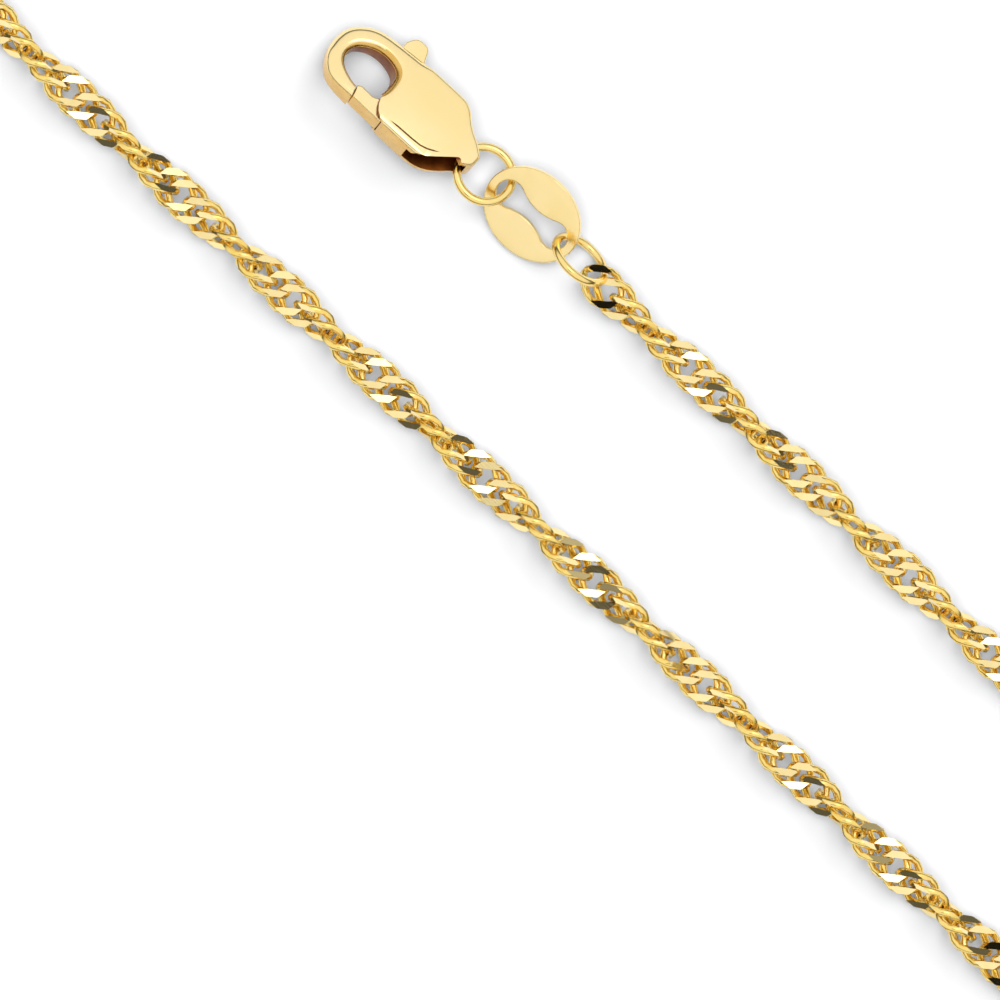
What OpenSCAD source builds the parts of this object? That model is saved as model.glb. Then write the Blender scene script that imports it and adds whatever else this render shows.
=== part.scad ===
// A twisted curb chain necklace with a lobster clasp, laid open on a flat surface.
// Millimetres. The origin is on the surface, under the middle of the whole necklace.
// +X runs along the two strands from the clasp to the round end, and +Z is up.

/* [Chain] */
// Width over the links of the twisted chain
chain_w = 2.2; // [1.8:0.1:2.6]
// Sides of the plain tube that holds the chain's place
chain_sides = 8; // [8:1:12]
// Space between the chain's first link and the ring in front of it
chain_gap = 0.12; // [0.05:0.01:0.3]

/* [End ring] */
// Outer diameter of the ring between the plate and the chain
end_ring_d = 3.65; // [3.5:0.05:3.9]
// Wire of the end ring
end_ring_wire = 0.45; // [0.36:0.01:0.5]
// Lean of the end ring about the strand, the lower edge up
end_ring_lean = 59; // [50:1:65]

/* [Plate] */
// Length of the oval plate along the strand
plate_len = 5.75; // [5.6:0.05:6.4]
// Width of the oval plate
plate_w = 4.85; // [4.6:0.05:5.6]
// Thickness of the plate
plate_t = 0.36; // [0.3:0.01:0.45]
// Lean of the plate about the strand, the upper edge up
plate_lean = 25; // [20:1:30]
// Length of the peanut slot
slot_len = 4.75; // [4.65:0.05:4.9]
// Width of the slot across its round ends
slot_w = 1.58; // [1.56:0.02:1.7]
// Width of the slot at its waist
slot_waist = 0.8; // [0.6:0.02:1]

/* [Clasp ring] */
// Outer diameter of the ring between the clasp and the plate
clasp_ring_d = 3.55; // [3.45:0.05:3.7]
// Wire of the clasp ring
clasp_ring_wire = 0.48; // [0.38:0.01:0.5]
// Lean of the clasp ring about the strand, the lower edge up
clasp_ring_lean = 21; // [20:1:23]

/* [Clasp body] */
// Length of the hollow body behind the hook's mouth
body_len = 6; // [5.8:0.1:6.6]
// Width of the body
body_w = 4.15; // [4:0.05:4.6]
// Thickness of the body at its middle
body_t = 2.3; // [2.2:0.05:2.6]
// Fall of the face from its middle to the flank
crown_across = 0.15; // [0.05:0.01:0.25]
// Fall of the face from its middle to the hook's end
crown_along = 0.55; // [0.3:0.05:0.6]
// Wall between the hollow and the outside
body_wall = 0.35; // [0.25:0.01:0.4]
// Length of the opening inside the hook
hook_gap_len = 3; // [2.6:0.1:3.4]
// Width of the opening inside the hook
hook_gap_w = 2.35; // [2.2:0.05:2.5]
// Width of the metal round the hook's end
hook_band = 0.95; // [0.8:0.05:1.2]
// Lean of the clasp about the strand, the lower edge up
clasp_lean = 20; // [14:1:24]
// Height of the open channel that the ring moves in at the tail
channel_t = 1.2; // [1.1:0.05:1.3]
// Distance that the upper face is cut back over the channel
cut_back = 0.5; // [0.3:0.05:0.6]

/* [Gate lever] */
// Thickness of the lever
lever_t = 1.4; // [1.2:0.05:1.45]
// Reach of the thumb tab past the body's flank
tab_reach = 0.88; // [0.7:0.02:1.2]
// Width of the thumb tab
tab_w = 1.25; // [1:0.05:1.4]
// Radius of the lever's pin
pin_r = 0.3; // [0.25:0.01:0.35]

/* [Catch ring] */
// Outer diameter of the ring at the far end
catch_ring_d = 3.4; // [3:0.05:3.6]
// Wire of the ring at the far end
catch_ring_wire = 0.48; // [0.4:0.01:0.6]
// Lean of the ring at the far end
catch_ring_lean = 30; // [10:1:50]

/* [Fits] */
// Space between the lever and the body's faces
lever_gap = 0.07; // [0.05:0.01:0.1]
// Running clearance of the lever on its pin
pin_gap = 0.05; // [0.02:0.01:0.08]
// Space round the pin's ends in the body
seat_gap = 0.01; // [0.01:0.01:0.03]
// Space between the gate's end and the hook's tip
tip_gap = 0.06; // [0.04:0.01:0.1]
// Space between a ring's wire and what it hangs in
ring_gap = 0.06; // [0.04:0.01:0.1]

/* [Hidden] */
$fn = 72;
crown_fn = 360;
gold = [0.95, 0.78, 0.42];

// Route of the chain's middle line, chosen by hand: the strand at the clasp, the round end and the other strand
chain_route = [
    [-67.75, 5.85], [-51, 5.85], [-34, 5.85], [-17, 6], [-1, 8.8], [15, 14], [31, 19.8], [47, 25], [63, 28.8],
    [79, 29.5], [94, 25], [105, 14], [109.4, 0], [105, -14], [94, -25], [79, -29.5], [63, -28.8], [47, -25],
    [31, -19.8], [15, -14], [-1, -8.8], [-17, -6], [-35, -5.8], [-53, -5.8], [-71, -5.9], [-89, -6.1], [-107, -6.1]
];
rings_per_span = 3;

// Sides of the strand's line on which the small pieces lie
end_ring_y = chain_route[0][1] + 0.2;
plate_y = chain_route[0][1] + 0.2;
clasp_ring_y = chain_route[0][1];
clasp_y = chain_route[0][1] - 0.13;

// Radii of the rings' middle lines
end_ring_r = (end_ring_d - end_ring_wire) / 2;
clasp_ring_r = (clasp_ring_d - clasp_ring_wire) / 2;
catch_ring_r = (catch_ring_d - catch_ring_wire) / 2;

// Places along the strand, each from the piece before it
end_ring_seat = 0.23;
clasp_ring_seat = 0.38;
end_ring_x = chain_route[0][0] - chain_gap - end_ring_d / 2;
plate_x = end_ring_x - end_ring_r + end_ring_wire / 2 + end_ring_seat - slot_len / 2;
clasp_ring_x = plate_x - slot_len / 2 + clasp_ring_seat + clasp_ring_wire / 2 - clasp_ring_r;
last_point = chain_route[len(chain_route) - 1];
catch_ring_x = last_point[0] - chain_gap - catch_ring_d / 2;

// Heights above the surface
chain_z = chain_w / 2;
end_ring_z = end_ring_r * sin(end_ring_lean) + end_ring_wire / 2;
plate_z = plate_w / 2 * sin(plate_lean) + plate_t / 2 * cos(plate_lean);
catch_ring_z = catch_ring_r * sin(catch_ring_lean) + catch_ring_wire / 2;

// The clasp, in its own frame: x from the hook's mouth to the tail, y across and z through its thickness
flank = body_w / 2;
hook_len = hook_gap_len + hook_band;
hollow_t = lever_t + 2 * lever_gap;
crown_x = 0.4 * body_len;
nose_t = 0.45;
eye_r = clasp_ring_r - clasp_ring_wire / 2 - ring_gap;
eye_x = body_len - nose_t + eye_r;
clasp_x = clasp_ring_x - eye_x;
pivot = [1.7, -0.8];
gate_r = 3.1;
tip_r = gate_r + tip_gap;
hub_r = pin_r + pin_gap + 0.35;
pin_len = hollow_t + 2 * 0.2;
tab_x = -0.35;
tab_top = flank + tab_reach;
// Lowest y of the slot that the thumb tab stands in
tab_floor = 0.37 * hook_gap_w + body_wall;
// Where the wall along the flank ends and the ring's channel begins
channel_x = 0.48 * body_len;
flank_t = body_t - 2 * crown_across;
clasp_z = max(sin(clasp_lean) * tab_top + cos(clasp_lean) * lever_t / 2,
    sin(clasp_lean) * flank + cos(clasp_lean) * flank_t / 2);
through = 3 * body_t;

// The clasp ring rests low in the tail's channel; eye_y is its place across in the clasp's frame
clasp_ring_z = clasp_z - (clasp_ring_y - clasp_y) * tan(clasp_lean) - (channel_t - clasp_ring_wire) / 2
    + ring_gap;
eye_y = (clasp_ring_y - clasp_y) * cos(clasp_lean) - (clasp_ring_z - clasp_z) * sin(clasp_lean);

// Outline shared by the clasp's two faces. Columns: x, y and corner radius.
// Behind the mouth x is a share of the body's length, before it of the hook's; y and radius are shares of the flank
body_table = [
    [1, -0.24, 0.17], [0.88, -0.42, 0.3], [0.6, -1.01, 0.6], [-0.6, -1.03, 0.8], [-1, -0.37, 0.5],
    [-1, 0.32, 0.8], [-0.55, 0.92, 1.3], [0.12, 1, 0.9], [0.6, 1.01, 0.6], [0.88, 0.42, 0.3], [1, 0.24, 0.17]
];
body_outline = [for (row = body_table)
    [row[0] * (row[0] > 0 ? body_len : hook_len), row[1] * flank, row[2] * flank]];

// Opening inside the hook. Columns: x as a share of its length, y and radius as shares of its width
gap_table = [
    [0, 0.37, 0.3], [-0.62, 0.37, 0.58], [-1, 0.1, 0.27], [-1, -0.4, 0.27], [-0.8, -0.6, 0.2], [-0.3, -0.63, 0],
    [0, -0.63, 0]
];
gap_outline = [for (row = gap_table)
    [row[0] * hook_gap_len, row[1] * hook_gap_w, row[2] * hook_gap_w]];

// Corner of an outline as an arc: p and s are the points before and after q, whose third number is the radius
function unit(v) = v / norm(v);
function corner(p, q, s) =
    let (a = [q[0], q[1]], u = unit([p[0], p[1]] - a), v = unit([s[0], s[1]] - a), half = acos(u * v) / 2,
        c = a + unit(u + v) * q[2] / sin(half), from = a + u * q[2] / tan(half),
        start = atan2(from[1] - c[1], from[0] - c[0]), sweep = sign(cross(-u, v)) * (180 - 2 * half),
        steps = max(1, ceil(abs(sweep) / 12)))
    q[2] <= 0 ? [a] : [for (i = [0:steps]) let (t = start + sweep * i / steps) c + q[2] * [cos(t), sin(t)]];
function rounded(points) = let (n = len(points))
    [for (i = [0:n - 1]) each corner(points[(i + n - 1) % n], points[i], points[(i + 1) % n])];

// Point on the chain's route: t runs from 0 to 1 along span k of the smooth curve through the chosen points
function route_at(i) = let (n = len(chain_route))
    i < 0 ? 2 * chain_route[0] - chain_route[1]
    : i >= n ? 2 * chain_route[n - 1] - chain_route[n - 2] : chain_route[i];
function route_point(k, t) = let (a = route_at(k - 1), b = route_at(k), c = route_at(k + 1), d = route_at(k + 2))
    (2 * b + (c - a) * t + (2 * a - 5 * b + 4 * c - d) * t * t + (3 * b - a - 3 * c + d) * t * t * t) / 2;
chain_points = [for (k = [0:len(chain_route) - 2], i = [0:rings_per_span - 1]) route_point(k, i / rings_per_span),
    last_point];

module torus(radius, wire) {
    rotate_extrude() translate([radius, 0]) circle(d = wire);
}

// Places what is drawn in the clasp's own frame
module on_clasp() {
    translate([clasp_x, clasp_y, clasp_z]) rotate([-clasp_lean, 0, 0]) children();
}

// Slab of a flat shape, centred on the clasp's middle plane
module slab(thickness) {
    translate([0, 0, -thickness / 2]) linear_extrude(thickness) children();
}

// Crowned blank: the outline between two faces that fall gently towards the flanks, the hook and the tail
module crowned_blank() {
    intersection() {
        slab(body_t) polygon(rounded(body_outline));
        crown(-1);
        crown(1);
    }
}

// Large round body whose top or bottom is a face of the clasp: one radius across it and a larger one along it
module crown(side) {
    across_r = (pow(flank, 2) + pow(crown_across, 2)) / (2 * crown_across);
    along_r = (pow(hook_len + crown_x, 2) + pow(crown_along, 2)) / (2 * crown_along);
    translate([crown_x, 0, side * (body_t / 2 - across_r)]) rotate([0, side * 90, 0])
        rotate_extrude($fn = crown_fn) intersection() {
            translate([across_r - along_r, 0]) circle(r = along_r, $fn = crown_fn);
            translate([0, -1.5 * body_len]) square([2 * across_r, 3 * body_len]);
        }
}

// Cut that frees the gate: from the hook's tip, an arc about the pivot, to the curved edge of the body's mouth
module mouth_cut() {
    intersection() {
        translate(pivot) circle(r = tip_r, $fn = 96);
        polygon(rounded([[-3, -3, 0], [1.6, -3, 0], [1.1, -flank, 0.3], [0.28, -0.87 * flank, 0.4],
            [0, -0.54 * flank, 0.3], [0, -0.4 * flank, 0], [-0.6, -0.3 * flank, 0], [-3, -0.72 * flank, 0]]));
    }
}

// Hollow for the lever: open at the gate and at the thumb tab, closed by a wall along the lower flank
module lever_hollow() {
    wall_y = flank - body_wall;
    out_y = 2 * flank;
    polygon([[-0.3, -out_y], [0.95, -out_y], [0.95, -wall_y], [channel_x, -wall_y], [channel_x, wall_y],
        [2.6, wall_y], [2.6, out_y], [-1.2, out_y], [-1.2, tab_floor], [body_wall, tab_floor],
        [body_wall, -0.1], [-0.3, -0.1]]);
}

// Channel for the ring: open along both sides of the tail, with a post at the nose that the ring turns round
module ring_channel() {
    difference() {
        translate([channel_x - 0.3, 0]) union() {
            translate([0, body_wall - flank]) square([body_len, 2 * (flank - body_wall)]);
            translate([0.3, -2 * flank]) square([body_len, 2 * flank]);
            translate([0.3 * body_len, 0]) square([body_len, 2 * flank]);
        }
        translate([eye_x, eye_y]) circle(r = eye_r);
    }
}

// Part of the upper face cut away along the lower side of the channel
module channel_mouth() {
    polygon(rounded([[channel_x, -2 * flank, 0], [channel_x, -flank + 0.02, 0.3],
        [0.6 * body_len, -flank + 0.25 * cut_back, 0.8], [0.87 * body_len, -0.48 * flank + cut_back, 0.25],
        [0.95 * body_len, -0.37 * flank, 0], [0.95 * body_len, -2 * flank, 0]]));
}

module clasp_body() {
    color(gold) on_clasp() difference() {
        crowned_blank();
        slab(through) polygon(rounded(gap_outline));
        slab(through) mouth_cut();
        slab(hollow_t) lever_hollow();
        slab(channel_t) ring_channel();
        linear_extrude(body_t) channel_mouth();
        translate(pivot) cylinder(h = pin_len + 2 * seat_gap, r = pin_r + seat_gap, center = true);
    }
}

// Plan of the gate, whose end is an arc about the pivot and whose inner corner is cut off
module gate_plan() {
    intersection() {
        translate(pivot) circle(r = gate_r, $fn = 96);
        polygon(rounded([[-3, -flank, 0], [0.84, -flank, 0.12], [0.86, body_wall + 0.1 - flank, 0.1],
            [1.5, -0.62 * flank, 0.2], [1.9, -0.3 * flank, 0.2], [0.9, -0.2 * flank, 0.4],
            [-0.05, -0.55 * flank, 0.4], [-1.15, -0.55 * flank, 0.1], [-1.5, -0.75 * flank, 0],
            [-3, -0.75 * flank, 0]]));
    }
}

// Plan of the thumb tab: a round lobe on a wider root
module tab_plan() {
    lobe_r = tab_w / 2;
    translate([tab_x, tab_top - lobe_r]) circle(r = lobe_r);
    polygon([[tab_x - lobe_r, tab_floor + 0.15], [tab_x + lobe_r, tab_floor + 0.15],
        [tab_x + lobe_r + 0.1, flank + 0.1], [tab_x + lobe_r, tab_top - lobe_r],
        [tab_x - lobe_r, tab_top - lobe_r]]);
}

// Plan of the arm that joins the hub to the thumb tab
module arm_plan() {
    polygon(rounded([[1.15, -0.8, 0], [2.25, -0.8, 0], [1.95, 0.8, 0.6], [1.05, 0.88 * flank, 0.4],
        [0.3, flank + 0.05, 0.05], [-0.2, flank + 0.05, 0.05], [-0.2, tab_floor + 0.15, 0.05],
        [0.5, tab_floor + 0.15, 0.3], [0.85, 0.5, 0.6]]));
}

module clasp_lever() {
    color(gold) on_clasp() difference() {
        slab(lever_t) {
            gate_plan();
            tab_plan();
            arm_plan();
            translate(pivot) circle(r = hub_r);
        }
        translate(pivot) cylinder(h = through, r = pin_r + pin_gap, center = true);
    }
}

module lever_pin() {
    color(gold) on_clasp() translate(pivot) cylinder(h = pin_len, r = pin_r, center = true);
}

module clasp_ring() {
    color(gold) translate([clasp_ring_x, clasp_ring_y, clasp_ring_z]) rotate([-clasp_ring_lean, 0, 0])
        torus(clasp_ring_r, clasp_ring_wire);
}

// Plan of the peanut slot: two round ends and a waist between two arcs that touch them smoothly
module slot_plan() {
    end_r = slot_w / 2;
    end_x = slot_len / 2 - end_r;
    arc_r = (pow(end_x, 2) + pow(slot_waist / 2, 2) - pow(end_r, 2)) / (slot_w - slot_waist);
    share = arc_r / (arc_r + end_r);
    for (side = [-1, 1]) translate([side * end_x, 0]) circle(r = end_r);
    difference() {
        square([2 * end_x * share, slot_w * (slot_waist / 2 + arc_r) / (arc_r + end_r)], center = true);
        for (side = [-1, 1]) translate([0, side * (slot_waist / 2 + arc_r)]) circle(r = arc_r, $fn = 120);
    }
}

module tag_plate() {
    color(gold) translate([plate_x, plate_y, plate_z]) rotate([plate_lean, 0, 0]) slab(plate_t) difference() {
        polygon([for (i = [0:71]) [plate_len / 2 * cos(5 * i), plate_w / 2 * sin(5 * i)]]);
        slot_plan();
    }
}

module end_ring() {
    color(gold) translate([end_ring_x, end_ring_y, end_ring_z]) rotate([-end_ring_lean, 0, 0])
        torus(end_ring_r, end_ring_wire);
}

// Tube that holds the chain's place, swept along its route in flat rings of equal size
module chain() {
    count = len(chain_points);
    points = [for (i = [0:count - 1])
        let (along = unit(chain_points[min(i + 1, count - 1)] - chain_points[max(i - 1, 0)]))
        for (j = [0:chain_sides - 1]) let (a = 360 * j / chain_sides)
            [chain_points[i][0] - along[1] * chain_w / 2 * cos(a),
             chain_points[i][1] + along[0] * chain_w / 2 * cos(a),
             chain_z + chain_w / 2 * sin(a)]];
    walls = [for (i = [0:count - 2], j = [0:chain_sides - 1]) let (k = (j + 1) % chain_sides)
        [i * chain_sides + k, i * chain_sides + j, (i + 1) * chain_sides + j, (i + 1) * chain_sides + k]];
    ends = [[for (j = [0:chain_sides - 1]) j],
        [for (j = [chain_sides - 1:-1:0]) (count - 1) * chain_sides + j]];
    color(gold) polyhedron(points, concat(walls, ends), convexity = 4);
}

module catch_ring() {
    color(gold) translate([catch_ring_x, last_point[1], catch_ring_z]) rotate([-catch_ring_lean, 0, 0])
        torus(catch_ring_r, catch_ring_wire);
}

clasp_body();
clasp_lever();
lever_pin();
clasp_ring();
tag_plate();
end_ring();
chain();
catch_ring();
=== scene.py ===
"""Looks of a singapore chain necklace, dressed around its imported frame.

Lengths are in millimetres in the classes below, and become metres as each mesh is finished.
World X runs along the two near strands, Y across them, and Z up from the table.
"""

import logging
import math
import random
from bisect import bisect_right
from dataclasses import dataclass, field
from enum import Enum, IntEnum

import bmesh
import bpy
from mathutils import Matrix, Vector


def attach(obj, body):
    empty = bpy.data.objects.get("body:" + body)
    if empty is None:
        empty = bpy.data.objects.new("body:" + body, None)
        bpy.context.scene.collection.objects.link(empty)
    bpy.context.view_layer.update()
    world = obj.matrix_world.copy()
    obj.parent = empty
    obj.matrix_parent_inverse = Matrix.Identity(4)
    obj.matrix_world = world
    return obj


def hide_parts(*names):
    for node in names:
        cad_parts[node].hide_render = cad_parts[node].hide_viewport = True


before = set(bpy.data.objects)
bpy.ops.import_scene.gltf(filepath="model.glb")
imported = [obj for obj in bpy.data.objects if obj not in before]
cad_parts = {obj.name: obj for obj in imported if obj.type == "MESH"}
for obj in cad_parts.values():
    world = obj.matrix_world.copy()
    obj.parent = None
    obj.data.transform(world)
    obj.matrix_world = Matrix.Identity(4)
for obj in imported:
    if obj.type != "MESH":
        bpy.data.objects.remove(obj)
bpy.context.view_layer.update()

MM = 0.001
NECKLACE = "necklace"
LEVER = "lever"
Triple = tuple[float, float, float]
Geometry = list[bmesh.types.BMVert | bmesh.types.BMEdge | bmesh.types.BMFace]
Outline = tuple[tuple[float, float], ...]
RoundedOutline = tuple[Triple, ...]
log = logging.getLogger("necklace")


class Lustre(Enum):
    """How a gold surface has been worked: the share of its marks' frequency along each axis."""

    POLISHED = (1.0, 1.0, 1.0)
    DRAWN = (0.35, 1.0, 1.0)
    CUT = (0.12, 1.0, 1.0)


# The range that most of a noise lies in, its finer layers, and a mark's height in mm.
NOISE_RANGE = (0.3, 0.7)
PATCH_LAYERS = 2.0
MARK_LAYERS = 4.0
MARK_HEIGHT = 0.02


@dataclass(frozen=True)
class GoldFinish:
    """Yellow gold with soft colour patches and fine working marks.

    The two colours are those of the patches, smooth and dull are the least and most
    roughness, patch and grain are the sizes of a patch and a mark in mm, and relief is
    the strength of the marks' bump.
    """

    name: str
    lustre: Lustre
    tone: Triple
    shade: Triple
    smooth: float
    dull: float
    patch: float
    grain: float
    relief: float

    def material(self) -> bpy.types.Material:
        """Makes the finish's material.

        Returns:
            The material, ready for a slot.
        """
        mat = bpy.data.materials.new(self.name)
        mat.use_nodes = True
        nodes, links = mat.node_tree.nodes, mat.node_tree.links
        shader = nodes["Principled BSDF"]
        shader.inputs["Metallic"].default_value = 1.0
        place = nodes.new("ShaderNodeTexCoord")
        patches = self._noise(nodes, links, place, self.patch, PATCH_LAYERS, Lustre.POLISHED.value)
        ramp = nodes.new("ShaderNodeValToRGB")
        for stop, at, colour in zip(ramp.color_ramp.elements, NOISE_RANGE, (self.shade, self.tone)):
            stop.position = at
            stop.color = (*colour, 1.0)
        links.new(patches.outputs["Fac"], ramp.inputs["Fac"])
        links.new(ramp.outputs["Color"], shader.inputs["Base Color"])
        marks = self._noise(nodes, links, place, self.grain, MARK_LAYERS, self.lustre.value)
        gloss = nodes.new("ShaderNodeMapRange")
        for end, at, roughness in zip(("Min", "Max"), NOISE_RANGE, (self.smooth, self.dull)):
            gloss.inputs[f"From {end}"].default_value = at
            gloss.inputs[f"To {end}"].default_value = roughness
        links.new(marks.outputs["Fac"], gloss.inputs["Value"])
        links.new(gloss.outputs["Result"], shader.inputs["Roughness"])
        bump = nodes.new("ShaderNodeBump")
        bump.inputs["Strength"].default_value = self.relief
        bump.inputs["Distance"].default_value = MARK_HEIGHT * MM
        links.new(marks.outputs["Fac"], bump.inputs["Height"])
        links.new(bump.outputs["Normal"], shader.inputs["Normal"])
        return mat

    def _noise(
        self,
        nodes: bpy.types.Nodes,
        links: bpy.types.NodeLinks,
        place: bpy.types.Node,
        size: float,
        detail: float,
        stretch: Triple,
    ) -> bpy.types.Node:
        """Adds a noise of one grain size, read on object coordinates.

        Args:
            nodes: the tree's nodes.
            links: the tree's links.
            place: the texture coordinate node.
            size: the size of a grain, in mm.
            detail: how many finer layers it has.
            stretch: the share of its frequency along each axis.

        Returns:
            The noise node.
        """
        mapping = nodes.new("ShaderNodeMapping")
        mapping.inputs["Scale"].default_value = [share / (size * MM) for share in stretch]
        noise = nodes.new("ShaderNodeTexNoise")
        noise.inputs["Detail"].default_value = detail
        noise.inputs["Scale"].default_value = 1.0
        links.new(place.outputs["Object"], mapping.inputs["Vector"])
        links.new(mapping.outputs["Vector"], noise.inputs["Vector"])
        return noise


CLASP_GOLD = GoldFinish(
    "clasp_gold", Lustre.POLISHED, tone=(0.97, 0.775, 0.4), shade=(0.96, 0.745, 0.34),
    smooth=0.12, dull=0.18, patch=3.0, grain=0.25, relief=0.05,
)
# Painted shade: a darker amber gold for the clasp's and lever's upright sides and the rim round the
# hook's opening, where shade falls.
SIDE_PAINTED_SHADE_GOLD = GoldFinish(
    "clasp_side_painted_shade_gold", Lustre.DRAWN, tone=(0.8, 0.52, 0.17), shade=(0.72, 0.43, 0.1),
    smooth=0.2, dull=0.3, patch=1.0, grain=0.15, relief=0.1,
)
# Painted shade: a near-black gold for the clasp's inner walls and the floors and ceilings of its
# hollows, where shade falls.
RECESS_PAINTED_SHADE_GOLD = GoldFinish(
    "clasp_recess_painted_shade_gold", Lustre.DRAWN, tone=(0.34, 0.11, 0.02), shade=(0.2, 0.05, 0.01),
    smooth=0.3, dull=0.45, patch=0.8, grain=0.12, relief=0.15,
)
RING_GOLD = GoldFinish(
    "ring_gold", Lustre.DRAWN, tone=(0.97, 0.75, 0.31), shade=(0.94, 0.68, 0.22),
    smooth=0.1, dull=0.2, patch=1.2, grain=0.12, relief=0.08,
)
PLATE_GOLD = GoldFinish(
    "plate_gold", Lustre.POLISHED, tone=(0.97, 0.77, 0.38), shade=(0.96, 0.74, 0.33),
    smooth=0.16, dull=0.22, patch=2.0, grain=0.2, relief=0.04,
)
# The chain's wire gold is its gold made deeper and more saturated as painted shade, and its facet gold
# is made paler as a painted highlight.
WIRE_PAINTED_SHADE_GOLD = GoldFinish(
    "chain_wire_painted_shade_gold", Lustre.DRAWN, tone=(0.97, 0.74, 0.26), shade=(0.93, 0.66, 0.17),
    smooth=0.1, dull=0.2, patch=0.6, grain=0.1, relief=0.1,
)
FACET_PAINTED_HIGHLIGHT_GOLD = GoldFinish(
    "chain_facet_painted_highlight_gold", Lustre.CUT, tone=(0.99, 0.81, 0.41), shade=(0.97, 0.77, 0.34),
    smooth=0.03, dull=0.07, patch=0.6, grain=0.08, relief=0.03,
)


def whole(bm: bmesh.types.BMesh) -> Geometry:
    """Lists everything in a shape."""
    return [*bm.verts, *bm.edges, *bm.faces]


def verts_of(made: Geometry) -> list[bmesh.types.BMVert]:
    """Picks the vertices out of an operator's result."""
    return [g for g in made if isinstance(g, bmesh.types.BMVert)]


def edges_of(made: Geometry) -> list[bmesh.types.BMEdge]:
    """Picks the edges out of an operator's result."""
    return [g for g in made if isinstance(g, bmesh.types.BMEdge)]


def leaning(at: Triple, degrees: float) -> Matrix:
    """Gives the place of a thing that is tilted about X and set down."""
    return Matrix.Translation(at) @ Matrix.Rotation(math.radians(degrees), 4, "X")


def curve_between(a: Vector, b: Vector, c: Vector, d: Vector, t: float) -> Vector:
    """Gives a point on the smooth curve through four points, between the middle two.

    Args:
        a: the point before.
        b: the point where the curve starts.
        c: the point where it ends.
        d: the point after.
        t: the share of the way from b to c.

    Returns:
        The point.
    """
    curve = 2 * b + (c - a) * t + (2 * a - 5 * b + 4 * c - d) * t * t
    return (curve + (3 * b - a - 3 * c + d) * t**3) / 2


def add_object(bm: bmesh.types.BMesh, name: str) -> bpy.types.Object:
    """Puts a copy of a shape in the scene.

    Args:
        bm: the shape.
        name: the new object's name.

    Returns:
        The object.
    """
    mesh = bpy.data.meshes.new(name)
    bm.to_mesh(mesh)
    added = bpy.data.objects.new(name, mesh)
    bpy.context.scene.collection.objects.link(added)
    return added


def finish_piece(
    bm: bmesh.types.BMesh,
    name: str,
    materials: list[bpy.types.Material],
    body: str,
    nodes: tuple[str, ...],
) -> bpy.types.Object:
    """Turns a shape in mm into a finished piece in metres that stands for CAD nodes.

    Args:
        bm: the shape, which is freed.
        name: the piece's name.
        materials: its materials, by face material index.
        body: the CAD body that it rides on.
        nodes: the CAD nodes that it stands for.

    Returns:
        The piece.
    """
    bmesh.ops.scale(bm, vec=(MM, MM, MM), verts=bm.verts)
    piece = add_object(bm, name)
    bm.free()
    for mat in materials:
        piece.data.materials.append(mat)
    piece.visible_diffuse = False
    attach(piece, body)
    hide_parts(*nodes)
    return piece


@dataclass
class Route:
    """The line that the chain lies along, from the plate's end to the catch ring's end."""

    points: tuple[tuple[float, float], ...] = (
        (-67.75, 5.85), (-51, 5.85), (-34, 5.85), (-17, 6), (-1, 8.8), (15, 14), (31, 19.8),
        (47, 25), (63, 28.8), (79, 29.5), (94, 25), (105, 14), (109.4, 0), (105, -14),
        (94, -25), (79, -29.5), (63, -28.8), (47, -25), (31, -19.8), (15, -14), (-1, -8.8),
        (-17, -6), (-35, -5.8), (-53, -5.8), (-71, -5.9), (-89, -6.1), (-107, -6.1),
    )
    height: float = 1.135
    steps: int = 24
    line: list[Vector] = field(default_factory=list)
    arcs: list[float] = field(default_factory=list)

    def __post_init__(self) -> None:
        """Draws the smooth line through the points and measures along it."""
        pts = [Vector((x, y, self.height)) for x, y in self.points]
        pts = [2 * pts[0] - pts[1], *pts, 2 * pts[-1] - pts[-2]]
        for k in range(1, len(pts) - 2):
            a, b, c, d = pts[k - 1 : k + 3]
            for i in range(self.steps):
                self.line.append(curve_between(a, b, c, d, i / self.steps))
        self.line.append(pts[-2])
        self.arcs = [0.0]
        for p, q in zip(self.line, self.line[1:]):
            self.arcs.append(self.arcs[-1] + (q - p).length)

    @property
    def length(self) -> float:
        """The line's length in mm."""
        return self.arcs[-1]

    def at(self, arc: float) -> tuple[Vector, Vector]:
        """Finds a place along the line, which runs on straight past its ends.

        Args:
            arc: the distance from the plate's end.

        Returns:
            The point and the direction there.
        """
        k = min(max(bisect_right(self.arcs, arc) - 1, 0), len(self.line) - 2)
        step = self.line[k + 1] - self.line[k]
        return self.line[k] + step.normalized() * (arc - self.arcs[k]), step.normalized()

    def arc_at(self, x: float, returning: bool) -> float:
        """Finds how far along the line a place on one of the near strands is.

        Args:
            x: the place along X.
            returning: whether it is on the strand that comes back to the catch ring.

        Returns:
            The distance from the plate's end.
        """
        half = range(len(self.line))
        near = [k for k in half if (self.arcs[k] > self.length / 2) == returning]
        k = min(near, key=lambda i: abs(self.line[i].x - x))
        return self.arcs[k] + (x - self.line[k].x) * (-1 if returning else 1)


class ChainFace(IntEnum):
    """Which of the chain's golds a face has: the wire's, deepened as painted shade, or the facets',
    paler as a painted highlight.
    """

    WIRE = 0
    FACET = 1


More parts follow.
